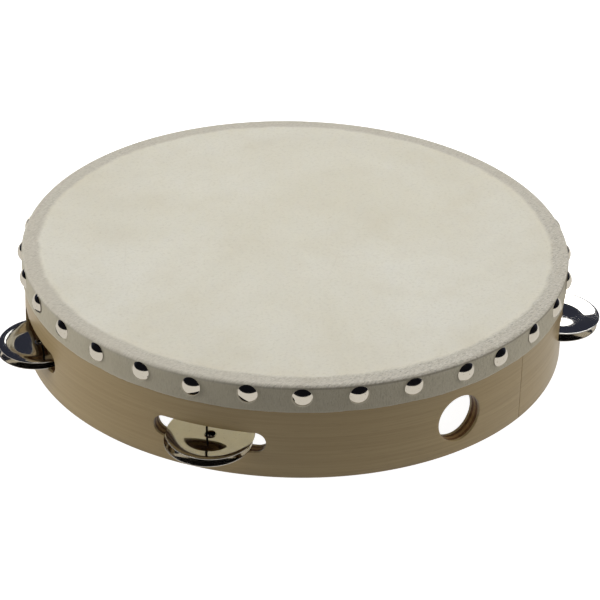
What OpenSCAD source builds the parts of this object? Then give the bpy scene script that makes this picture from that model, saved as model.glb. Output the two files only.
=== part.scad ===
// Headed tambourine: a laminated wooden shell with a tacked skin head, six pairs of jingles
// on upright pins in slots through the wall, and a thumb hole.
// The drum axis is Z, the shell stands on z = 0, and the thumb hole faces -Y.

/* [Shell] */
// Outer diameter of the wooden shell
shell_d = 254; // [220:1:320]
// Height of the wooden shell, without the skin
shell_h = 47.9; // [42:0.1:60]
// Thickness of the laminated wall
wall = 7; // [6:0.5:9]
// Thickness of each glue line between two plies
glue_line = 0.05; // [0.02:0.01:0.1]
// Width of the butt seam where the two ends of a ply meet
seam_gap = 0.3; // [0.1:0.1:0.6]
// Radius that the rims of the shell are sanded to
rim_round = 1.0; // [0.4:0.1:1.2]

/* [Thumb hole] */
// Diameter of the thumb hole
thumb_d = 23; // [18:0.5:26]
// Height of the thumb hole's centre
thumb_z = 18; // [15:0.5:20]

/* [Head] */
// Thickness of the skin over the drum
skin_t = 0.5; // [0.3:0.1:1]
// Thickness of the lapped and glued skirt, with its glue
skirt_t = 1.1; // [0.8:0.1:1.5]
// Height of the skirt's lower edge
skirt_z = 34.4; // [32:0.2:37]
// Radius of the fold over the rim
fold_round = 1.8; // [1.6:0.1:2.4]

/* [Tacks] */
// Number of tacks round the head
tack_count = 32; // [16:8:40]
// Diameter of a tack's domed head
tack_d = 9.2; // [6:0.1:10]
// Height of the dome
tack_dome = 2.3; // [1.5:0.1:4]
// Height of the row of tacks
tack_z = 42.5; // [41:0.5:44]
// Diameter of a tack's shank
shank_d = 1.5; // [1:0.1:2]
// Depth that a shank reaches in from the skirt's face
shank_depth = 6; // [4:0.5:7]

/* [Jingle slots] */
// Angle from the thumb hole to the first slot on each side
first_slot = 52.7; // [48:0.1:56]
// Angle from there to the second slot
slot_pitch = 53.1; // [48:0.1:56]
// Length of a slot
slot_l = 52; // [46:0.5:54]
// Height of a slot
slot_h = 10.4; // [9:0.1:12]
// Height of a slot's centre
slot_z = 17.5; // [16:0.1:19]

/* [Jingles] */
// Diameter of a jingle
jingle_d = 39.4; // [34:0.2:40]
// Thickness of the sheet steel
jingle_t = 0.5; // [0.3:0.05:0.8]
// Depth of the dish, from the rim down to the lowest ring
dish = 1.25; // [0.6:0.05:1.8]
// Diameter of the lowest ring of the dish
dish_ring_d = 23.2; // [16:0.2:26]
// Height of the middle above the lowest ring
crown = 0.45; // [0.2:0.05:0.8]
// Diameter of the hole in the middle
jingle_hole_d = 4.7; // [4:0.1:6]
// Play between a jingle and what it lies on
rest_gap = 0.3; // [0.2:0.05:0.5]
// Angle that each pair is tipped down at its outer side
tip = 3; // [0:0.5:4]
// Most that a jingle sits off the middle of its pin
off_pin = 1.75; // [0:0.05:1.8]

/* [Pins] */
// Diameter of a jingle pin
pin_d = 1; // [0.8:0.1:2]
// Length of pin held in the wood above the slot
pin_grip = 9; // [6:0.5:10]
// Depth that a pin's lower end is set below the shell's lower rim
pin_set = 0.8; // [0.2:0.1:2]

/* [Hidden] */
$fn = 96;
shell_r = shell_d / 2;
plies = 5;
ply_t = (wall - (plies - 1) * glue_line) / plies;
pin_r = shell_r - wall / 2;
slot_top = slot_z + slot_h / 2;
slot_floor = slot_z - slot_h / 2;
// Reach of a cutter past the faces that it cuts
over = 2;
// Reach of a wall cut past the inner face at its middle, which the wall's curve uses up along a slot
cut_past = 6;
// Angle of each ply's seam round from the thumb hole, outer ply first, clear of every slot
seam_angles = [18.4, 281, 130, 79, 230];
// Angle of each jingle slot round from the thumb hole
back_slot = 180 - (180 - first_slot - slot_pitch) / 3;
half_slots = [first_slot, first_slot + slot_pitch, back_slot];
slot_angles = concat(half_slots, [for (i = [2:-1:0]) 360 - half_slots[i]]);
// Angle that each pin is drilled off the middle of its slot
pin_turns = [-0.8, 0.2, -0.3, 0.2, 0, -0.7];
// Where each jingle has slid to on its pin, as shares of off_pin to the right and outward
lower_shift = [[-0.85, 0.45], [0.25, 0.9], [-0.75, -0.5], [0.6, 0.7], [-0.5, 0.5], [0.35, -0.1]];
upper_shift = [[-0.2, 0.97], [-0.7, 0.5], [0.35, 0.9], [-0.3, 0.85], [-0.4, 0.05], [0.75, -0.6]];
// Tipping drops the outer side of the wall's width, which the lower jingle makes up for
tip_lift = (wall / 2 + off_pin) * tan(tip) + rest_gap;
lower_rim_z = slot_floor + tip_lift;
ring_gap_z = dish + jingle_t;
lower_ring_z = lower_rim_z + ring_gap_z;
upper_ring_z = lower_ring_z + rest_gap;
// How far each tack was hammered in off its even place: degrees round from it, and height above it
tack_turns = [0.55, -1.2, -1.1, -0.8, 0, 0.4, -0.3, 0.6, -0.5, 0.1, 0.3, -0.7, 0.2, 0.5, -0.2, -0.4,
              0.3, 0.7, -0.1, -0.6, 0.2, -0.3, 0.4, 0, 0.1, 0, 0.2, 0.1, 0.3, -0.25, -0.35, -0.25];
tack_lifts = [-0.3, -0.6, 0.3, 0.3, 0, -0.2, 0.4, 0.1, -0.4, 0.2, -0.1, 0.3, 0, -0.5, 0.2, 0.1,
              -0.3, 0.2, 0.4, -0.2, 0.1, -0.4, 0.2, 0.5, 0.1, 0, 0.3, -0.3, 0.6, 0.1, 0.2, 0];
arc_steps = 6;
profile_steps = 8;

JINGLES = [for (i = [1:6], level = ["lower", "upper"]) str("jingle_", i, "_", level)];
PINS = [for (i = [1:6]) str("jingle_pin_", i)];
PLIES = ["outer_ply", "outer_cross_ply", "core_ply", "inner_cross_ply", "inner_ply"];

// Points of a quarter arc from angle a0 to a1 about a centre
function arc(centre, r, a0, a1) =
    [for (i = [0:arc_steps]) centre + r * [cos(a0 + (a1 - a0) * i / arc_steps),
                                           sin(a0 + (a1 - a0) * i / arc_steps)]];

// Puts its children at an angle round from the thumb hole, facing outward along -Y at radius r
module at_angle(angle, r, z) {
    rotate([0, 0, angle]) translate([0, -r, z]) children();
}

// Stadium with its length along X
module stadium(length, height) {
    square([length - height, height], center = true);
    for (side = [-1, 1]) {
        translate([side * (length - height) / 2, 0]) circle(d = height);
    }
}

// Everything that is cut through the wall or into it: slots, thumb hole and pin holes
module wall_cuts() {
    depth = over + wall + cut_past;
    for (angle = slot_angles) {
        at_angle(angle, shell_r + over, slot_z)
            rotate([-90, 0, 0]) linear_extrude(depth) stadium(slot_l, slot_h);
    }
    for (angle = slot_angles + pin_turns) {
        at_angle(angle, pin_r, -over) cylinder(d = pin_d, h = over + slot_top + pin_grip);
    }
    at_angle(0, shell_r + over, thumb_z) rotate([-90, 0, 0]) cylinder(d = thumb_d, h = depth);
}

// Section of ply i, from 0 at the outside, with the sanded rims on the outermost and innermost
function ply_section(i) =
    let (r1 = shell_r - i * (ply_t + glue_line),
         r0 = r1 - ply_t,
         q = rim_round)
    i == 0 ? concat([[r0, 0]], arc([r1 - q, q], q, -90, 0), arc([r1 - q, shell_h - q], q, 0, 90),
                    [[r0, shell_h]])
    : i == plies - 1 ? concat([[r1, 0], [r1, shell_h]],
                              arc([r0 + q, shell_h - q], q, 90, 180), arc([r0 + q, q], q, 180, 270))
    : [[r0, 0], [r1, 0], [r1, shell_h], [r0, shell_h]];

module ply(i) {
    color(i % 2 == 0 ? "burlywood" : "peru")
        difference() {
            rotate_extrude() polygon(ply_section(i));
            wall_cuts();
            at_angle(seam_angles[i], shell_r + over, -over)
                translate([-seam_gap / 2, 0]) cube([seam_gap, wall + 2 * over, shell_h + 2 * over]);
        }
}

// One skin: the drumhead, the fold over the rim and the skirt that is glued down the shell
module skin_head() {
    top = shell_h + skin_t;
    outer = shell_r + skirt_t;
    inner_fold = rim_round;
    color("antiquewhite")
        rotate_extrude()
            polygon(concat([[0, top]],
                           arc([outer - fold_round, top - fold_round], fold_round, 90, 0),
                           [[outer, skirt_z], [shell_r, skirt_z]],
                           arc([shell_r - inner_fold, shell_h - inner_fold], inner_fold, 0, 90),
                           [[0, shell_h]]));
}

// Round dome on a pointed shank, with its base on the XY plane and the dome upward
module tack() {
    half = tack_d / 2;
    dome_r = (half * half + tack_dome * tack_dome) / (2 * tack_dome);
    point = 2 * shank_d;
    intersection() {
        translate([0, 0, tack_dome - dome_r]) sphere(r = dome_r);
        cylinder(d = tack_d + over, h = tack_dome + over);
    }
    translate([0, 0, point - shank_depth]) cylinder(d = shank_d, h = shank_depth - point + tack_dome / 2);
    translate([0, 0, -shank_depth]) cylinder(d1 = 0, d2 = shank_d, h = point);
}

module head_tacks() {
    // A dome's flat base meets the skirt's curve all the way round its edge
    outer = shell_r + skirt_t;
    seat_r = sqrt(outer * outer - tack_d * tack_d / 4);
    color("silver")
        for (i = [0:tack_count - 1]) {
            k = i % len(tack_turns);
            at_angle(360 * i / tack_count + tack_turns[k], seat_r, tack_z + tack_lifts[k])
                rotate([90, 0, 0]) tack();
        }
}

module jingle_pin(i) {
    color("dimgray")
        at_angle(slot_angles[i] + pin_turns[i], pin_r, pin_set)
            cylinder(d = pin_d, h = slot_top + pin_grip - pin_set);
}

// Height of a dish's underside at radius r: a low crown in the middle, a ring at 0, a raised rim
function dish_height(r) =
    let (ring = dish_ring_d / 2, rim = jingle_d / 2)
    r < ring ? crown * (1 + cos(180 * r / ring)) / 2
             : dish * (1 - cos(180 * (r - ring) / (rim - ring))) / 2;

// One dished jingle with its rim up, standing on its lowest ring at z = 0
module dished_disc() {
    inner = jingle_hole_d / 2;
    outer = jingle_d / 2;
    radii = [for (k = [0:profile_steps]) inner + (outer - inner) * k / profile_steps];
    under = [for (r = radii) [r, dish_height(r)]];
    above = [for (k = [profile_steps:-1:0]) [radii[k], dish_height(radii[k]) + jingle_t]];
    rotate_extrude() polygon(concat(under, above));
}

// A jingle of pair i: the lower one lies rim down, the upper one rim up, back to back
module jingle(i, upper) {
    shift = off_pin * (upper ? upper_shift[i] : lower_shift[i]);
    color(upper ? "gainsboro" : "lightgray")
        at_angle(slot_angles[i] + pin_turns[i], pin_r, upper ? upper_ring_z : lower_ring_z)
            rotate([tip, 0, 0]) translate([shift[0], -shift[1], 0])
                mirror([0, 0, upper ? 0 : 1]) dished_disc();
}

for (i = [0:plies - 1]) {
    ply(i);
}
skin_head();
head_tacks();
for (i = [0:5]) {
    jingle_pin(i);
    jingle(i, false);
    jingle(i, true);
}
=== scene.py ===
"""Looks of a headed wooden tambourine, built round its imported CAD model.

The drum axis is Z, the shell stands on z = 0, and the thumb hole faces -Y. Everything is in metres.
"""

import math
import random

import bmesh
import bpy
import numpy as np
from mathutils import Matrix, Vector, noise

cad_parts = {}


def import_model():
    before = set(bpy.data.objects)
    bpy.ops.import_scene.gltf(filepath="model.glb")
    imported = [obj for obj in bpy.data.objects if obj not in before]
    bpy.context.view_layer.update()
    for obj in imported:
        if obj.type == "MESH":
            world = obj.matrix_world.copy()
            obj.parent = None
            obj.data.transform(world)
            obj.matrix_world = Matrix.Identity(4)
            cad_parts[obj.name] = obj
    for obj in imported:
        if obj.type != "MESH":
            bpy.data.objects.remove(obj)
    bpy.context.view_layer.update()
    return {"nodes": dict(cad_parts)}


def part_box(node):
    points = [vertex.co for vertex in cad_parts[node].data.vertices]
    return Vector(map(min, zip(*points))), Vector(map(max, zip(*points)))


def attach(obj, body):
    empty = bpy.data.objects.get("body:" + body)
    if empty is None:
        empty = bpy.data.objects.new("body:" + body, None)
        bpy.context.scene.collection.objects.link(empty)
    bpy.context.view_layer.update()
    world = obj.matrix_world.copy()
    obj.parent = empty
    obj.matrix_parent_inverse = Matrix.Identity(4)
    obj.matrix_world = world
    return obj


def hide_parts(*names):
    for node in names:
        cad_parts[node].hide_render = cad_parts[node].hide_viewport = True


MM = 0.001
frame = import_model()

# ---------------------------------------------------------------- sizes taken from the frame

PLIES = ["outer_ply", "outer_cross_ply", "core_ply", "inner_cross_ply", "inner_ply"]
STATIONS = range(1, 7)
shell_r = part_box("outer_ply")[1].x
shell_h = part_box("outer_ply")[1].z
head_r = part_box("skin_head")[1].x
head_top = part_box("skin_head")[1].z
skirt_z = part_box("skin_head")[0].z

# what to look for round an opening: above the lower rim, and this many radians each side of its middle
RIM_ZONE = 4 * MM
SLOT_REACH = 0.24
THUMB_REACH = 0.12


def node_points(node):
    """A CAD node's vertices at rest."""
    return np.array([v.co for v in frame["nodes"][node].data.vertices], float)


def around(points):
    """Angle of each point round from the thumb hole at -Y, towards +X."""
    return np.arctan2(points[:, 0], -points[:, 1])


def inner_radius(node):
    points = node_points(node)
    return float(np.hypot(points[:, 0], points[:, 1]).min())


def pin_place(number):
    low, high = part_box(f"jingle_pin_{number}")
    return (low + high) / 2


def opening(angle, reach):
    """(angle of its middle, half its width, lowest z, highest z) of the outer ply's opening near an angle.
    reach is the angle each side of it that holds no other opening."""
    points = node_points("outer_ply")
    turn = (around(points) - angle + math.pi) % (2 * math.pi) - math.pi
    off_rims = (points[:, 2] > RIM_ZONE) & (points[:, 2] < skirt_z)
    edge = points[(abs(turn) < reach) & off_rims]
    turn = turn[(abs(turn) < reach) & off_rims]
    middle = angle + float(turn.min() + turn.max()) / 2
    across = edge[:, 0] * math.cos(middle) + edge[:, 1] * math.sin(middle)
    return middle, float(abs(across).max()), float(edge[:, 2].min()), float(edge[:, 2].max())


pin_angles = [math.atan2(pin_place(n).x, -pin_place(n).y) for n in STATIONS]
slots = [opening(angle, SLOT_REACH) for angle in pin_angles]
slot_angles = [slot[0] for slot in slots]
_, slot_half, slot_low, slot_high = slots[0]
_, thumb_half, thumb_low, thumb_high = opening(0.0, THUMB_REACH)

# the outer ply's butt seam, and how many radians each side of it count as its lips
SEAM_TURN = math.radians(18.4)
SEAM_GAP = 0.3 * MM
SEAM_REACH = 0.004


# ---------------------------------------------------------------- mesh helpers

def at_angle(angle, radius, z=0.0):
    """A point at an angle round from the thumb hole."""
    return Vector((radius * math.sin(angle), -radius * math.cos(angle), z))


def facing(angle, radius, z=0.0):
    """A frame at that point: its Z points outward, its Y up and its X along the wall."""
    out = at_angle(angle, 1.0)
    up = Vector((0, 0, 1))
    side = up.cross(out)
    turn = Matrix((side, up, out)).transposed().to_4x4()
    return Matrix.Translation(at_angle(angle, radius, z)) @ turn


def new_piece(name, mesh, material, body="drum"):
    """An object of the mesh, riding on a body, with a material."""
    piece = bpy.data.objects.new(name, mesh)
    bpy.context.scene.collection.objects.link(piece)
    mesh.materials.append(material)
    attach(piece, body)
    return piece


def smooth(mesh, angle):
    """Smooth shading, with a sharp edge wherever faces turn by more than the angle in degrees."""
    mesh.polygons.foreach_set("use_smooth", [True] * len(mesh.polygons))
    mesh.set_sharp_from_angle(angle=math.radians(angle))


def revolve(profile, segments, move=None):
    """A mesh of a closed (r, z) outline turned round Z. Its ends meet, or lie on the axis.
    move(point, turn, step) may shift each point."""
    build = bmesh.new()
    rings = []
    for step, (r, z) in enumerate(profile):
        if r < 1e-9:
            point = Vector((0, 0, z))
            rings.append([build.verts.new(move(point, 0.0, step) if move else point)])
            continue
        ring = []
        for k in range(segments):
            turn = 2 * math.pi * k / segments
            point = at_angle(turn, r, z)
            ring.append(build.verts.new(move(point, turn, step) if move else point))
        rings.append(ring)
    closed = len(rings[0]) > 1
    for a, b in zip(rings, rings[1:] + (rings[:1] if closed else [])):
        for k in range(segments):
            corners = [a[k % len(a)], a[(k + 1) % len(a)], b[(k + 1) % len(b)], b[k % len(b)]]
            corners = list(dict.fromkeys(corners))
            if len(corners) > 2:
                build.faces.new(corners)
    bmesh.ops.recalc_face_normals(build, faces=build.faces)
    mesh = bpy.data.meshes.new("revolved")
    build.to_mesh(mesh)
    build.free()
    return mesh


def corner(centre, radius, start, end, steps=5):
    """Points of a round corner, with angles in degrees."""
    points = []
    for k in range(steps + 1):
        a = math.radians(start + (end - start) * k / steps)
        points.append((centre[0] + radius * math.cos(a), centre[1] + radius * math.sin(a)))
    return points


# ---------------------------------------------------------------- material helpers

class Paint:
    """Short calls that build one material's nodes."""

    def __init__(self, name):
        self.material = bpy.data.materials.new(name)
        self.material.use_nodes = True
        self.tree = self.material.node_tree
        self.shader = self.tree.nodes["Principled BSDF"]
        self.place = self.node("ShaderNodeTexCoord").outputs["Object"]

    def node(self, kind, **settings):
        made = self.tree.nodes.new(kind)
        for key, value in settings.items():
            setattr(made, key, value)
        return made

    def put(self, value, socket):
        """Links a socket to an input, or sets the input to a value."""
        if isinstance(value, bpy.types.NodeSocket):
            self.tree.links.new(value, socket)
        else:
            socket.default_value = value

    def calc(self, operation, *values):
        made = self.node("ShaderNodeMath", operation=operation)
        for value, socket in zip(values, made.inputs):
            self.put(value, socket)
        return made.outputs[0]

    def step(self, value, low, high):
        """0 below low and 1 above high, smooth between."""
        made = self.node("ShaderNodeMapRange", interpolation_type="SMOOTHSTEP")
        for socket, v in zip(made.inputs, (value, low, high, 0.0, 1.0)):
            self.put(v, socket)
        return made.outputs[0]

    def split(self):
        """The place's x, y and z."""
        made = self.node("ShaderNodeSeparateXYZ")
        self.put(self.place, made.inputs[0])
        return made.outputs

    def join(self, x, y, z):
        made = self.node("ShaderNodeCombineXYZ")
        for value, socket in zip((x, y, z), made.inputs):
            self.put(value, socket)
        return made.outputs[0]

    def round_place(self, radius, cut=math.pi):
        """(length round the drum from the cut, height, distance from the axis), as a vector and apart."""
        x, y, z = self.split()
        s, c = math.sin(cut), math.cos(cut)
        # the branch of arctan2 falls opposite its zero, so the place is turned to put it at the cut
        side = self.calc("ADD", self.calc("MULTIPLY", x, -c), self.calc("MULTIPLY", y, -s))
        front = self.calc("ADD", self.calc("MULTIPLY", x, -s), self.calc("MULTIPLY", y, c))
        turn = self.calc("ARCTAN2", side, front)
        r = self.calc("SQRT", self.calc("ADD", self.calc("MULTIPLY", x, x), self.calc("MULTIPLY", y, y)))
        along = self.calc("MULTIPLY", turn, radius)
        return self.join(along, z, r), (along, z, r, turn)

    def stretch(self, vector, scale):
        made = self.node("ShaderNodeVectorMath", operation="MULTIPLY")
        self.put(vector, made.inputs[0])
        made.inputs[1].default_value = scale
        return made.outputs[0]

    def noise(self, vector, scale, detail=3.0, rough=0.55, distortion=0.0):
        made = self.node("ShaderNodeTexNoise")
        self.put(vector, made.inputs["Vector"])
        made.inputs["Scale"].default_value = scale
        made.inputs["Detail"].default_value = detail
        made.inputs["Roughness"].default_value = rough
        made.inputs["Distortion"].default_value = distortion
        return made.outputs["Fac"]

    def web(self, vector):
        """Distance to the nearest line of a web of cells, one cell to a unit of length."""
        made = self.node("ShaderNodeTexVoronoi", feature="DISTANCE_TO_EDGE")
        self.put(vector, made.inputs["Vector"])
        made.inputs["Scale"].default_value = 1.0
        return made.outputs["Distance"]

    def mix(self, share, a, b):
        """A colour between a and b."""
        made = self.node("ShaderNodeMix", data_type="RGBA")
        for value, socket in ((share, made.inputs[0]), (a, made.inputs[6]), (b, made.inputs[7])):
            self.put(value, socket)
        return made.outputs[2]

    def blend(self, share, a, b):
        """A number between a and b."""
        made = self.node("ShaderNodeMix", data_type="FLOAT")
        for value, socket in zip((share, a, b), made.inputs[:1] + made.inputs[2:4]):
            self.put(value, socket)
        return made.outputs[0]

    def colour(self, value):
        self.put(value, self.shader.inputs["Base Color"])

    def gloss(self, rough, metal=None, coat=None, coat_rough=None):
        self.put(rough, self.shader.inputs["Roughness"])
        if metal is not None:
            self.shader.inputs["Metallic"].default_value = metal
        if coat is not None:
            self.shader.inputs["Coat Weight"].default_value = coat
            self.shader.inputs["Coat Roughness"].default_value = coat_rough

    def bumps(self, *layers):
        """Stacks (height, distance in metres, strength) layers of bump."""
        normal = None
        for height, distance, strength in layers:
            made = self.node("ShaderNodeBump")
            made.inputs["Distance"].default_value = distance
            made.inputs["Strength"].default_value = strength
            self.put(height, made.inputs["Height"])
            if normal is not None:
                self.put(normal, made.inputs["Normal"])
            normal = made.outputs[0]
        self.put(normal, self.shader.inputs["Normal"])


def rgb(red, green, blue):
    """A linear colour from 0 to 255 screen values."""
    return [((v / 255 + 0.055) / 1.055) ** 2.4 if v > 10 else v / 3295 for v in (red, green, blue)] + [1.0]


# ---------------------------------------------------------------- materials

def wood(name, light, dark, along_grain, cut, lacquer):
    """Birch with a share of satin lacquer. The grain runs round the shell, or up it on a cross ply.
    cut is the angle round the drum where the grain's pattern starts and ends."""
    p = Paint(name)
    place, (_, z, _, _) = p.round_place(shell_r, cut)
    long_way, short_way = (16.0, 900.0) if along_grain else (900.0, 16.0)
    streaks = p.noise(p.stretch(place, (long_way, short_way, 500.0)), 1.0, 6.0, 0.65, 0.2)
    bands = p.noise(p.stretch(place, (long_way * 0.3, short_way * 0.10, 60.0)), 1.0, 3.0, 0.5, 0.3)
    cloud = p.noise(place, 22.0, 4.0, 0.55)
    pores = p.step(p.noise(p.stretch(place, (long_way * 9, short_way * 2.4, 900.0)), 1.0, 2.0), 0.60, 0.74)
    base = p.mix(p.step(streaks, 0.25, 0.75), dark, light)
    base = p.mix(p.calc("MULTIPLY", p.step(bands, 0.40, 0.72), 0.22), base, dark)
    base = p.mix(p.calc("MULTIPLY", pores, 0.30), base, [v * 0.6 for v in dark[:3]] + [1.0])
    base = p.mix(p.calc("MULTIPLY", p.step(cloud, 0.40, 0.75), 0.20), base, rgb(176, 152, 112))
    # painted shade, in patches, darkens the lower rim
    lower_rim_shade = p.calc("MULTIPLY", p.step(z, 0.0032, 0.0), p.step(p.noise(place, 70.0, 4.0), 0.35, 0.65))
    base = p.mix(p.calc("MULTIPLY", lower_rim_shade, 0.30), base, rgb(96, 78, 50))
    p.colour(base)
    p.gloss(p.blend(p.step(cloud, 0.3, 0.7), 0.34, 0.46), coat=lacquer, coat_rough=0.20)
    # bare plies shine less than lacquered ones
    p.shader.inputs["Specular IOR Level"].default_value = 0.15 + 1.4 * lacquer
    p.bumps((streaks, 0.00006, 0.20), (pores, 0.00006, -0.30), (p.noise(place, 26.0, 2.0), 0.0006, 0.10))
    return p.material


def drum_cream(p, flat, grain):
    """The hide's cream over the drum: clouds, grain, flecks and faint veins."""
    clouds = p.step(p.noise(flat, 9.0, 5.0, 0.6, 0.6), 0.30, 0.72)
    cream = p.mix(clouds, rgb(218, 210, 189), rgb(229, 222, 203))
    wisps = p.step(p.noise(flat, 34.0, 5.0, 0.65), 0.42, 0.75)
    cream = p.mix(p.calc("MULTIPLY", wisps, 0.30), cream, rgb(208, 197, 174))
    cream = p.mix(p.calc("MULTIPLY", p.step(grain, 0.48, 0.70), 0.32), cream, rgb(194, 184, 160))
    flecks = p.step(p.noise(flat, 300.0, 3.0, 0.6), 0.66, 0.76)
    cream = p.mix(p.calc("MULTIPLY", flecks, 0.25), cream, rgb(170, 152, 124))
    veins = p.step(p.web(p.stretch(flat, (26.0, 15.0, 1.0))), 0.012, 0.0)
    veins = p.calc("MULTIPLY", veins, p.step(p.noise(flat, 11.0, 3.0), 0.56, 0.70))
    return p.mix(p.calc("MULTIPLY", veins, 0.10), cream, rgb(168, 146, 120))


def hide_fibres(p, flat, down, on_skirt):
    """(fibres, threads) of the hide. They lie one way across the rim, and hang where the skirt was pulled."""
    lying = p.stretch(flat, (480.0, 1700.0, 1.0))
    hanging = p.stretch(down, (1500.0, 420.0, 1.0))
    fibres = p.blend(on_skirt, p.noise(lying, 1.0, 5.0, 0.65, 0.5), p.noise(hanging, 1.0, 5.0, 0.65, 0.5))
    threads = p.blend(on_skirt, p.noise(p.stretch(lying, (1.6, 1.6, 1.0)), 1.0, 3.0, 0.6, 0.6),
                      p.noise(p.stretch(hanging, (1.8, 1.8, 1.0)), 1.0, 3.0, 0.6, 0.8))
    return fibres, p.step(threads, 0.48, 0.70)


def glued_grey(p, place, z, fibres, threads, patches, coarse, on_skirt):
    """The greyer hide where it is glued: fibres, blots, stains, painted shade along the fold and a painted
    highlight along the hem.
    """
    glued = p.mix(p.step(fibres, 0.28, 0.72), rgb(180, 173, 158), rgb(203, 197, 182))
    glued = p.mix(p.calc("MULTIPLY", threads, p.blend(patches, 0.10, 0.65)), glued, rgb(228, 225, 218))
    gaps = p.calc("MULTIPLY", p.step(fibres, 0.48, 0.32), patches)
    glued = p.mix(p.calc("MULTIPLY", gaps, 0.75), glued, rgb(136, 131, 121))
    blots = p.step(p.noise(place, 60.0, 4.0, 0.6), 0.56, 0.72)
    glued = p.mix(p.calc("MULTIPLY", blots, 0.22), glued, rgb(158, 147, 126))
    stains = p.step(p.noise(p.stretch(place, (1.0, 1.6, 1.0)), 92.0, 3.0, 0.55), 0.70, 0.76)
    glued = p.mix(p.calc("MULTIPLY", stains, 0.45), glued, rgb(112, 94, 72))
    # glue has soaked the skirt, which turned it a little browner than the rim
    glued = p.mix(p.calc("MULTIPLY", on_skirt, 0.55), glued, rgb(190, 181, 154))
    # painted shade in the crease just under the fold, stronger on the coarse side
    fold_shade = p.calc("MULTIPLY", p.step(z, head_top - 2.2 * MM, head_top - 1.5 * MM),
                    p.step(z, head_top - 0.7 * MM, head_top - 1.2 * MM))
    fold_shade = p.calc("MULTIPLY", fold_shade, p.blend(coarse, 0.15, 0.55))
    glued = p.mix(fold_shade, glued, rgb(112, 104, 88))
    # painted highlight: a pale line along the hem, where its edge catches the light
    hem = p.step(z, skirt_z + 1.4 * MM, skirt_z + 0.4 * MM)
    return p.mix(p.calc("MULTIPLY", hem, 0.45), glued, rgb(232, 226, 210))


def rawhide():
    """Dry goatskin: cream over the drum, greyer where it is glued over the rim and down the shell."""
    p = Paint("head_rawhide")
    place, (along, z, r, turn) = p.round_place(head_r)
    x, y, _ = p.split()
    flat = p.join(x, y, 0.0)
    grain = p.noise(flat, 620.0, 4.0, 0.7)
    on_skirt = p.step(z, head_top - 0.6 * MM, head_top - 2.6 * MM)
    fibres, threads = hide_fibres(p, flat, p.join(along, z, 0.0), on_skirt)
    # the fibres show most on one side, where the skin was wettest
    coarse = p.step(p.calc("COSINE", p.calc("SUBTRACT", turn, COARSE_TURN)), 0.15, 0.80)
    patches = p.step(p.noise(place, 34.0, 3.0, 0.5), 0.38, 0.66)
    patches = p.calc("MAXIMUM", p.calc("MULTIPLY", patches, 0.6), coarse)
    # the glued part starts at the wall, along a wavering line
    waver = p.calc("MULTIPLY", p.calc("SUBTRACT", p.noise(place, 55.0, 5.0, 0.7), 0.5), 4.5 * MM)
    wall_r = inner_radius("inner_ply")
    on_rim = p.step(p.calc("ADD", r, waver), wall_r - 1.2 * MM, wall_r + 1.6 * MM)
    glued = glued_grey(p, place, z, fibres, threads, patches, coarse, on_skirt)
    p.colour(p.mix(on_rim, drum_cream(p, flat, grain), glued))
    p.gloss(p.blend(p.noise(flat, 60.0, 3.0), 0.52, 0.70))
    p.shader.inputs["Specular IOR Level"].default_value = 0.32
    # light soaks through the thin skin, which makes its underside glow
    p.put(p.blend(on_rim, 1.0, 0.05), p.shader.inputs["Subsurface Weight"])
    p.shader.inputs["Subsurface Radius"].default_value = (1.0, 0.94, 0.80)
    p.shader.inputs["Subsurface Scale"].default_value = 2.0 * MM
    rim_bump = p.calc("MULTIPLY", fibres, on_rim)
    rim_threads = p.calc("MULTIPLY", p.calc("MULTIPLY", threads, on_rim), patches)
    p.bumps((rim_bump, 0.00022, 0.45),
            (rim_threads, 0.00018, 0.45),
            (grain, 0.00012, 0.40),
            (p.noise(place, 30.0, 3.0, 0.5), 0.0008, 0.10))
    return p.material


def nickel(name, tint, rough_low, rough_high):
    """Polished plating over stamped sheet, with wipe marks, fine scratches and specks."""
    p = Paint(name)
    smear = p.noise(p.place, 130.0, 4.0, 0.6)
    scratches = p.step(p.noise(p.stretch(p.place, (5200.0, 700.0, 2600.0)), 1.0, 3.0, 0.6, 1.2), 0.65, 0.70)
    specks = p.step(p.noise(p.place, 1500.0, 2.0, 0.5), 0.69, 0.73)
    base = p.mix(p.calc("MULTIPLY", specks, 0.65), tint, rgb(84, 76, 66))
    base = p.mix(p.calc("MULTIPLY", p.step(smear, 0.55, 0.8), 0.25), base, rgb(196, 188, 172))
    p.colour(base)
    rough = p.blend(p.step(smear, 0.35, 0.75), rough_low, rough_high)
    p.gloss(p.calc("ADD", rough, p.calc("MULTIPLY", scratches, 0.08)), metal=1.0)
    p.bumps((scratches, 0.00002, 0.10), (p.noise(p.place, 120.0, 1.0, 0.4), 0.0002, 0.10))
    return p.material


def dark_wire():
    """Drawn steel wire, blued and worn bright in fine lines along its length."""
    p = Paint("pin_dark_wire")
    lines = p.noise(p.stretch(p.place, (2600.0, 2600.0, 60.0)), 1.0, 4.0, 0.6)
    patches = p.noise(p.place, 240.0, 3.0)
    base = p.mix(p.step(lines, 0.4, 0.75), rgb(26, 25, 26), rgb(70, 68, 66))
    base = p.mix(p.calc("MULTIPLY", p.step(patches, 0.58, 0.7), 0.5), base, rgb(78, 56, 38))
    p.colour(base)
    p.gloss(p.blend(lines, 0.28, 0.48), metal=0.85)
    p.bumps((lines, 0.00005, 0.3))
    return p.material


def hide_glue():
    """Amber glue that has squeezed out under the head."""
    p = Paint("hide_glue")
    p.colour(p.mix(p.step(p.noise(p.place, 160.0, 4.0), 0.35, 0.7), rgb(128, 92, 44), rgb(176, 140, 82)))
    p.gloss(p.blend(p.noise(p.place, 90.0, 3.0), 0.18, 0.40), coat=0.3, coat_rough=0.15)
    p.bumps((p.noise(p.place, 320.0, 4.0), 0.0003, 0.4))
    return p.material


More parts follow.
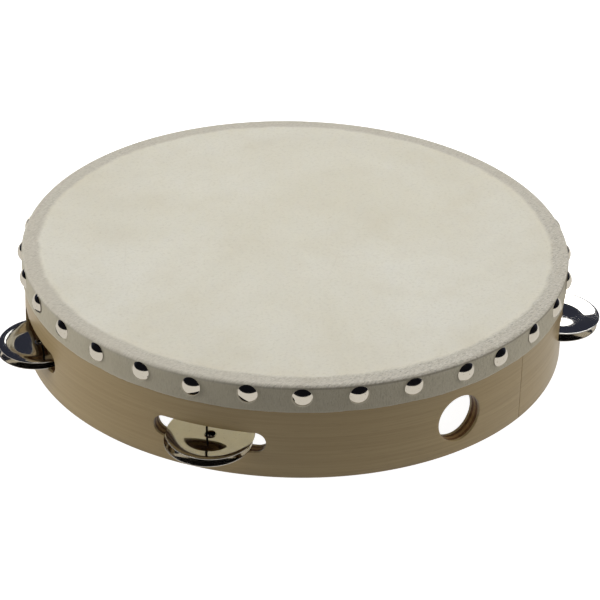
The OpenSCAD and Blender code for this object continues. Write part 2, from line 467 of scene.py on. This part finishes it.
# where round the drum the hide's fibres show most
COARSE_TURN = math.radians(19)
LACQUER = 0.25
face_wood = wood("birch_face", rgb(175, 153, 111), rgb(158, 136, 95), True, SEAM_TURN, LACQUER)
core_wood = wood("birch_core", rgb(176, 142, 96), rgb(142, 108, 68), True, math.pi, 0.0)
cross_wood = wood("birch_cross", rgb(132, 94, 56), rgb(86, 58, 34), False, math.pi, 0.0)
hide = rawhide()
jingle_plate = nickel("jingle_nickel", rgb(232, 229, 222), 0.05, 0.11)
tack_plate = nickel("tack_nickel", rgb(226, 221, 210), 0.06, 0.15)
wire = dark_wire()
glue = hide_glue()


# ---------------------------------------------------------------- shell

# cutters start this far outside the shell, and go this deep
CUT_START = 3 * MM
CUT_DEPTH = 16 * MM
RIM_ROUND = 1.0 * MM
LIP_ROUND = 0.15 * MM


def prism(outline, place, depth):
    """A closed solid of an outline in place's XY plane, from its origin inward."""
    build = bmesh.new()
    front = [build.verts.new(place @ Vector((x, y, 0))) for x, y in outline]
    back = [build.verts.new(place @ Vector((x, y, -depth))) for x, y in outline]
    build.faces.new(front)
    build.faces.new(back[::-1])
    for k in range(len(outline)):
        nxt = (k + 1) % len(outline)
        build.faces.new([front[k], back[k], back[nxt], front[nxt]])
    bmesh.ops.recalc_face_normals(build, faces=build.faces)
    mesh = bpy.data.meshes.new("cutter")
    build.to_mesh(mesh)
    build.free()
    return mesh


def stadium(half_length, half_height):
    """The outline of a slot with round ends."""
    reach = half_length - half_height
    right = corner((reach, 0), half_height, -90, 90, steps=20)
    left = corner((-reach, 0), half_height, 90, 270, steps=20)
    return right + left


def shell_cutters():
    """A cutter for each slot and one for the thumb hole."""
    outline = stadium(slot_half, (slot_high - slot_low) / 2)
    slot_mid = (slot_low + slot_high) / 2
    parts = []
    for angle in slot_angles:
        parts.append(prism(outline, facing(angle, shell_r + CUT_START, slot_mid), CUT_DEPTH))
    thumb = corner((0, 0), thumb_half, 0, 360, 72)[:-1]
    parts.append(prism(thumb, facing(0, shell_r + CUT_START, (thumb_low + thumb_high) / 2), CUT_DEPTH))
    return parts


def seam_cutter():
    """A cutter for the butt seam, which runs past both rims."""
    half = SEAM_GAP / 2
    low, high = -4 * MM, 60 * MM
    outline = [(-half, low), (half, low), (half, high), (-half, high)]
    return prism(outline, facing(SEAM_TURN, shell_r + CUT_START), CUT_DEPTH / 2)


def cut_away(piece, cutters):
    """Takes each cutter out of the piece, and leaves no modifier behind."""
    for number, mesh in enumerate(cutters):
        tool = bpy.data.objects.new(f"cutter_{number}", mesh)
        bpy.context.scene.collection.objects.link(tool)
        modifier = piece.modifiers.new("cut", "BOOLEAN")
        modifier.object = tool
        modifier.operation = "DIFFERENCE"
        modifier.solver = "EXACT"
        apply_modifiers(piece)
        bpy.data.objects.remove(tool)


def apply_modifiers(piece):
    bpy.context.view_layer.update()
    graph = bpy.context.evaluated_depsgraph_get()
    baked = bpy.data.meshes.new_from_object(piece.evaluated_get(graph))
    piece.modifiers.clear()
    piece.data = baked


def ease_openings(piece, face_r):
    """Rounds the lips of the openings on the face at one radius, as sandpaper leaves them.
    The seam's lips keep sharper than the others."""
    sharp_edge, seam_share = math.radians(50), 0.2
    mesh = piece.data
    points = np.array([v.co for v in mesh.vertices], float)
    on_face = abs(np.hypot(points[:, 0], points[:, 1]) - face_r) < 0.03 * MM
    build = bmesh.new()
    build.from_mesh(mesh)
    layer = build.edges.layers.float.new("bevel_weight_edge")
    for edge in build.edges:
        a, b = edge.verts
        if len(edge.link_faces) != 2 or not (on_face[a.index] and on_face[b.index]):
            continue
        if edge.calc_face_angle() < sharp_edge:
            continue
        at_seam = abs(math.atan2(a.co.x, -a.co.y) - SEAM_TURN) < SEAM_REACH
        edge[layer] = seam_share if at_seam else 1.0
    build.to_mesh(mesh)
    build.free()
    modifier = piece.modifiers.new("ease", "BEVEL")
    modifier.limit_method = "WEIGHT"
    modifier.width = LIP_ROUND
    modifier.segments = 3
    modifier.use_clamp_overlap = True
    apply_modifiers(piece)


def face_ply(node, face_outward):
    """The outermost or innermost ply, with sanded rims and eased openings."""
    outside = max(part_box(node)[1].x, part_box(node)[1].y)
    inside = inner_radius(node)
    q, top, rows = RIM_ROUND, shell_h, 12
    wall_zs = [q + (top - 2 * q) * k / rows for k in range(1, rows)]
    if face_outward:
        profile = [(inside, 0.0)] + corner((outside - q, q), q, -90, 0)
        profile += [(outside, z) for z in wall_zs] + corner((outside - q, top - q), q, 0, 90)
        profile += [(inside, top)]
    else:
        profile = [(outside, 0.0), (outside, top)] + corner((inside + q, top - q), q, 90, 180)
        profile += [(inside, z) for z in wall_zs[::-1]] + corner((inside + q, q), q, 180, 270)
    piece = new_piece(f"{node}_veneer", revolve(profile, 360), face_wood)
    cut_away(piece, shell_cutters() + ([seam_cutter()] if face_outward else []))
    ease_openings(piece, outside if face_outward else inside)
    smooth(piece.data, 30)
    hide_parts(node)


face_ply("outer_ply", True)
face_ply("inner_ply", False)


def dress(node, material):
    """Puts a material on a CAD node that is shown as it is."""
    mesh = frame["nodes"][node].data
    mesh.materials.clear()
    mesh.materials.append(material)


for ply_node in PLIES:
    dress(ply_node, cross_wood if "cross" in ply_node else core_wood)
for number in STATIONS:
    dress(f"jingle_pin_{number}", wire)


# ---------------------------------------------------------------- head

TACKS = 32
TACK_STEP = 2 * math.pi / TACKS


def tack_places():
    """(angle, height) of each tack, from the CAD group."""
    points = node_points("head_tacks")
    turns = around(points)
    places = []
    for number in range(TACKS):
        even = number * TACK_STEP
        turn = (turns - even + math.pi) % (2 * math.pi) - math.pi
        own = abs(turn) < TACK_STEP / 2
        zs = points[own, 2]
        places.append((even + float(turn[own].min() + turn[own].max()) / 2, float(zs.min() + zs.max()) / 2))
    return places


def tack_size():
    """(radius of a tack's head, how far its dome stands out from the skirt)."""
    points = node_points("head_tacks")
    front = points[abs(around(points)) < TACK_STEP / 2]
    return float(np.ptp(front[:, 2])) / 2, float(-front[:, 1].min()) - head_r


tacks = tack_places()
tack_r, tack_out = tack_size()


def near_tack(turn, z):
    """1 at a tack's middle, falling to 0 a little way outside its head."""
    number = round(turn / TACK_STEP) % TACKS
    angle, height = tacks[number]
    across = ((turn - angle + math.pi) % (2 * math.pi) - math.pi) * head_r
    away = math.hypot(across, z - height) / (tack_r * 1.5)
    return max(0.0, 1.0 - away * away) ** 2


def ragged(turn, scale, seed):
    """Smooth noise round the drum, from about -1 to 1."""
    at = Vector((math.cos(turn) * scale, math.sin(turn) * scale, seed))
    return noise.noise(at)


FOLD_R = 1.8 * MM
# rings of the drum's skin and of the rim's, closer together towards the fold
DRUM_RS = [0.0, 0.02, 0.045, 0.07, 0.09, 0.104, 0.112, 0.117]
RIM_RS = [0.120, 0.1225, 0.1245]


def skin_outside():
    """(r, z) from the head's middle, over the fold and down to the hem."""
    hem_h, rows = 0.35 * MM, 22
    skirt_top = head_top - FOLD_R
    skirt_h = skirt_top - skirt_z - hem_h
    fold = corner((head_r - FOLD_R, skirt_top), FOLD_R, 90, 0, 8)
    skirt = [(head_r, skirt_top - skirt_h * k / rows) for k in range(1, rows + 1)]
    hem = [(head_r - 0.12 * MM, skirt_z + 0.1 * MM), (head_r - 0.45 * MM, skirt_z)]
    return [(r, head_top) for r in DRUM_RS + RIM_RS] + fold + skirt + hem


def skin_inside():
    """(r, z) from the hem, up the shell's wall, over its rim and back to the head's middle."""
    thin, gap, rows = 0.45 * MM, 0.03 * MM, 6
    wall_h = shell_h - skirt_z - RIM_ROUND - 0.2 * MM
    hem = [(shell_r + gap, skirt_z + 0.05 * MM)]
    wall = [(shell_r + gap, skirt_z + wall_h * k / rows) for k in range(1, rows + 1)]
    rim = corner((shell_r - RIM_ROUND, shell_h - RIM_ROUND + gap), RIM_ROUND + gap, 0, 90, 4)
    on_wood = [(r, shell_h + gap) for r in RIM_RS[-2::-1]]
    return hem + wall + rim + on_wood + [(r, head_top - thin) for r in DRUM_RS[::-1]]


def shrink(point, turn, outside):
    """Moves a point as drying moves the hide: dents at the tacks, slack between them and a ragged hem."""
    r = math.hypot(point.x, point.y)
    outward = Vector((point.x, point.y, 0)) / r if r > 1e-6 else Vector()
    lap = 0.4 * MM
    if outside and r > shell_r + lap and point.z < head_top - FOLD_R:
        down = (head_top - point.z) / (head_top - skirt_z)
        dent = -0.42 * MM * near_tack(turn, point.z)
        wrinkle = 0.10 * MM * ragged(turn, 62.0, 3.0) * down
        sag = -0.10 * MM * (1 + math.cos(turn * TACKS)) * 0.5
        point = point + outward * min(0.12 * MM, dent + wrinkle + sag)
    hem_zone = 3.0 * MM
    if r > shell_r and point.z < skirt_z + hem_zone:
        share = 1 - max(0.0, point.z - skirt_z) / hem_zone
        lift = 0.42 * MM * ragged(turn, 7.0, 1.0) + 0.16 * MM * ragged(turn, 48.0, 5.0) + 0.30 * MM
        point = point + Vector((0, 0, lift * share))
    if DRUM_RS[1] < r < shell_r - lap:
        edge = min(1.0, max(0.0, 2 * r / RIM_RS[0] - 1))
        ripple = 0.05 * MM * ragged(turn, 5.0, r * 30) + 0.05 * MM * edge * ragged(turn, 26.0, r * 20)
        point = point + Vector((0, 0, min(ripple, 0.02 * MM)))
    return point


def skin_piece():
    """The membrane, its fold over the rim and the glued skirt, as one closed sheet."""
    outside = skin_outside()
    mesh = revolve(outside + skin_inside(), 720,
                   lambda point, turn, step: shrink(point, turn, step < len(outside)))
    smooth(mesh, 60)
    piece = new_piece("head_hide", mesh, hide)
    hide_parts("skin_head")


skin_piece()


def glue_bead():
    """A thin uneven bead of glue in the corner between the wall and the head, inside the drum."""
    wall = inner_radius("inner_ply")
    w = 1.1 * MM

    def run(point, turn, step):
        """Swells and thins the bead. Its first point stays in the corner."""
        if step == 0:
            return point
        thick = 0.75 + 0.35 * ragged(turn, 14.0, 9.0) + 0.2 * ragged(turn, 60.0, 2.0)
        base = at_angle(turn, wall, shell_h)
        return base + (point - base) * max(0.25, thick)

    profile = [(wall + 0.1 * MM, shell_h + 0.05 * MM), (wall - w, shell_h + 0.02 * MM),
               (wall - w * 0.42, shell_h - w * 0.42), (wall + 0.02 * MM, shell_h - w)]
    mesh = revolve(profile, 360, run)
    smooth(mesh, 60)
    new_piece("glue_bead", mesh, glue)


glue_bead()


# ---------------------------------------------------------------- tacks

def tack_outline(dome_h):
    """A hollow stamped dome with a rolled rim, on a pointed shank."""
    ball = (tack_r * tack_r + dome_h * dome_h) / (2 * dome_h)
    reach = math.degrees(math.asin(tack_r * 0.985 / ball))
    dome = [(ball * math.sin(math.radians(a)), dome_h - ball + ball * math.cos(math.radians(a)))
            for a in np.linspace(0, reach, 16)]
    rim = [(tack_r, 0.10 * MM), (tack_r * 0.99, -0.04 * MM), (tack_r * 0.93, -0.05 * MM)]
    hollow = [(tack_r * 0.86, 0.35 * MM), (tack_r * 0.5, dome_h * 0.62), (0.9 * MM, dome_h * 0.72)]
    shank_r, taper_z, point_z = 0.75 * MM, -3.0 * MM, -5.9 * MM
    shank = [(shank_r, dome_h * 0.55), (shank_r * 0.96, taper_z), (0.0, point_z)]
    return dome + rim + hollow + shank


def tacks_piece():
    """Every tack, each driven in a little crooked."""
    chance = random.Random(7)
    crooked = 0.045
    seat = math.sqrt(head_r ** 2 - tack_r ** 2)
    dome_h = head_r + tack_out - seat
    build = bmesh.new()
    for angle, height in tacks:
        mesh = revolve(tack_outline(dome_h), 48)
        tilt = Matrix.Rotation(chance.uniform(-crooked, crooked), 4, "X")
        tilt = tilt @ Matrix.Rotation(chance.uniform(-crooked, crooked), 4, "Y")
        roll = Matrix.Rotation(chance.uniform(0, 2 * math.pi), 4, "Z")
        mesh.transform(facing(angle, seat, height) @ tilt @ roll)
        build.from_mesh(mesh)
        bpy.data.meshes.remove(mesh)
    mesh = bpy.data.meshes.new("tacks")
    build.to_mesh(mesh)
    build.free()
    smooth(mesh, 40)
    piece = new_piece("domed_tacks", mesh, tack_plate)
    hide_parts("head_tacks")


tacks_piece()


# ---------------------------------------------------------------- jingles

def disc_place(node, upper):
    """(frame of a jingle, its outer radius, its hole's radius, its height from ring to rim).
    The frame's origin is at the middle of its lowest ring, and its Z points towards its rim."""
    points = node_points(node)
    middle = points.mean(0)
    axis = Vector(np.linalg.svd(points - middle, full_matrices=False)[2][2])
    axis = axis if (axis.z > 0) == upper else -axis
    side = axis.orthogonal().normalized()
    turn = Matrix((side, axis.cross(side), axis)).transposed()
    local = (points - middle) @ np.array(turn)
    centre = (local.min(0) + local.max(0)) / 2
    centre[2] = local[:, 2].min()
    radii = np.hypot(local[:, 0] - centre[0], local[:, 1] - centre[1])
    origin = Vector(middle) + turn @ Vector(centre)
    height = float(np.ptp(local[:, 2]))
    return Matrix.Translation(origin) @ turn.to_4x4(), float(radii.max()), float(radii.min()), height


def jingle_piece(number, level):
    """One stamped jingle: a dished flange, a pressed ring, a low crown and a burred hole."""
    node = f"jingle_{number}_{level}"
    place, rim_r, hole_r, height = disc_place(node, level == "upper")
    t = 0.5 * MM
    dish, crown, burr_h = height - t, 0.45 * MM, 0.45 * MM
    ring = rim_r * 0.589
    seed = number * 3.7 + (1.9 if level == "upper" else 0.0)

    def rise(r):
        """Height of the underside: a flat crown, a tight ring, a nearly straight flange."""
        if r < ring:
            return crown * (0.5 + 0.5 * math.cos(math.pi * (r / ring) ** 1.3))
        share = (r - ring) / (rim_r - ring)
        return dish * (0.5 - 0.5 * math.cos(math.pi * share ** 0.86))

    radii = list(np.linspace(hole_r + 0.45 * MM, rim_r - 0.25 * MM, 44))
    under = [(hole_r + 0.10 * MM, rise(hole_r))] + [(r, rise(r)) for r in radii]
    above = [(r, rise(r) + t) for r in radii[::-1]]
    rim_mid = rise(rim_r) + t / 2
    rim_edge = corner((rim_r - t / 2, rim_mid), t / 2, -65, 65, 4)
    burr = rise(hole_r) + t + burr_h
    hole_edge = [(hole_r + 0.30 * MM, burr - 0.30 * MM), (hole_r + 0.16 * MM, burr)]
    hole_edge += [(hole_r, burr - 0.05 * MM), (hole_r, rise(hole_r) + t * 0.35)]

    def planish(point, turn, step):
        """Stamping leaves the disc a little out of true."""
        r = math.hypot(point.x, point.y)
        warp = 0.05 * MM * math.cos(2 * turn + seed) * (r / rim_r) ** 2
        dents = 0.025 * MM * noise.noise(Vector((point.x * 70, point.y * 70, seed)))
        return point + Vector((0, 0, warp + dents))

    mesh = revolve(under + rim_edge + above + hole_edge, 192, planish)
    mesh.transform(place)
    smooth(mesh, 50)
    piece = new_piece(f"{node}_disc", mesh, jingle_plate, body=node)
    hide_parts(node)


for number in STATIONS:
    for level in ("lower", "upper"):
        jingle_piece(number, level)


# ---------------------------------------------------------------- stage, light and camera

def table(name, z, strength, grey, tint=(1.0, 1.0, 1.0), **seen):
    """One part of a pale light table, shown only to the kinds of ray that are named."""
    size = 6.0
    corners = [(-size, -size, z), (size, -size, z), (size, size, z), (-size, size, z)]
    mesh = bpy.data.meshes.new(name)
    mesh.from_pydata(corners, [], [(0, 1, 2, 3)])
    piece = bpy.data.objects.new(name, mesh)
    bpy.context.scene.collection.objects.link(piece)
    for ray in ("camera", "diffuse", "glossy", "shadow", "transmission"):
        setattr(piece, f"visible_{ray}", ray in seen)
    p = Paint(name)
    p.colour([grey, grey, grey, 1.0])
    p.gloss(0.9)
    p.shader.inputs["Specular IOR Level"].default_value = 0.0
    p.shader.inputs["Emission Color"].default_value = [*tint, 1.0]
    p.shader.inputs["Emission Strength"].default_value = strength
    mesh.materials.append(p.material)


def panel(name, place, target, width, height, watts, mirrored=False):
    """A soft box. Unless it is mirrored, polished metal doesn't show it."""
    data = bpy.data.lights.new(name, "AREA")
    data.shape = "RECTANGLE"
    data.size = width
    data.size_y = height
    data.energy = watts
    lamp = bpy.data.objects.new(name, data)
    bpy.context.scene.collection.objects.link(lamp)
    lamp.location = place
    lamp.rotation_euler = (Vector(target) - Vector(place)).to_track_quat("-Z", "Y").to_euler()
    lamp.visible_glossy = mirrored


VIEW_TURN = math.radians(-36.1)


def from_view(turn, distance, height):
    """A place round the drum, its angle counted from the camera's side."""
    return at_angle(VIEW_TURN + math.radians(turn), distance, height)


def studio():
    """A white table that shows pure white, and soft boxes over it and at both sides."""
    table("floor", -0.0001, 0.93, 0.5, camera=True)
    table("floor_bounce", -0.001, 0.19, 0.0, tint=(1.0, 0.97, 0.92), diffuse=True)
    table("floor_mirrored", -0.002, 0.72, 0.0, tint=(1.0, 0.96, 0.90), glossy=True)
    middle = Vector((0, 0, shell_h * 0.6))
    panel("key_left", from_view(-96, 1.5, 0.49), middle, 1.0, 0.9, 17)
    panel("fill_right", from_view(99, 1.5, 0.50), middle, 1.0, 0.9, 12.5)
    panel("overhead", from_view(180, 0.15, 1.7), middle, 1.2, 1.2, 14)
    panel("back", from_view(169, 1.2, 1.25), middle, 0.70, 0.78, 5.5, mirrored=True)
    panel("front_fill", from_view(5, 1.9, 0.8), middle, 1.2, 0.8, 7)
    panel("glint", from_view(-130, 0.55, 1.5), middle, 0.22, 0.22, 0.6, mirrored=True)


def world():
    """A dark room for polished metal to show: nearly black in front and overhead, navy at the back."""
    scene_world = bpy.data.worlds.new("studio")
    bpy.context.scene.world = scene_world
    scene_world.use_nodes = True
    tree = scene_world.node_tree
    coords = tree.nodes.new("ShaderNodeTexCoord")
    backward = tree.nodes.new("ShaderNodeVectorMath")
    backward.operation = "DOT_PRODUCT"
    backward.inputs[1].default_value = -at_angle(VIEW_TURN, 1.0)
    ramp = tree.nodes.new("ShaderNodeValToRGB")
    tree.links.new(coords.outputs["Generated"], backward.inputs[0])
    tree.links.new(backward.outputs["Value"], ramp.inputs[0])
    tree.links.new(ramp.outputs[0], tree.nodes["Background"].inputs["Color"])
    ramp.color_ramp.elements[0].position = 0.05
    ramp.color_ramp.elements[0].color = (0.006, 0.006, 0.008, 1.0)
    ramp.color_ramp.elements[1].position = 0.55
    ramp.color_ramp.elements[1].color = (0.028, 0.031, 0.046, 1.0)


def camera():
    """The camera that fits the drum's ellipses: its place, its aim's small errors and its roll."""
    distance, height_aim = 1.3155, 0.0242
    rise = math.radians(29.904)
    pan, tilt, roll = (math.radians(v) for v in (-0.124, -0.276, -1.461))
    data = bpy.data.cameras.new("camera")
    data.sensor_width = 36.0
    data.lens = 166.6
    data.clip_start, data.clip_end = 0.05, 20.0
    back = at_angle(VIEW_TURN, math.cos(rise), math.sin(rise))
    right = Vector((math.cos(VIEW_TURN), math.sin(VIEW_TURN), 0))
    up = back.cross(right)
    axes = Matrix((right, up, back)).transposed()
    small = Matrix.Rotation(pan, 3, "Y") @ Matrix.Rotation(tilt, 3, "X") @ Matrix.Rotation(-roll, 3, "Z")
    eye = bpy.data.objects.new("camera", data)
    bpy.context.scene.collection.objects.link(eye)
    place = back * distance + Vector((0, 0, height_aim))
    eye.matrix_world = Matrix.Translation(place) @ (axes @ small).to_4x4()
    bpy.context.scene.camera = eye


studio()
world()
camera()
bpy.context.scene.view_settings.view_transform = "Standard"
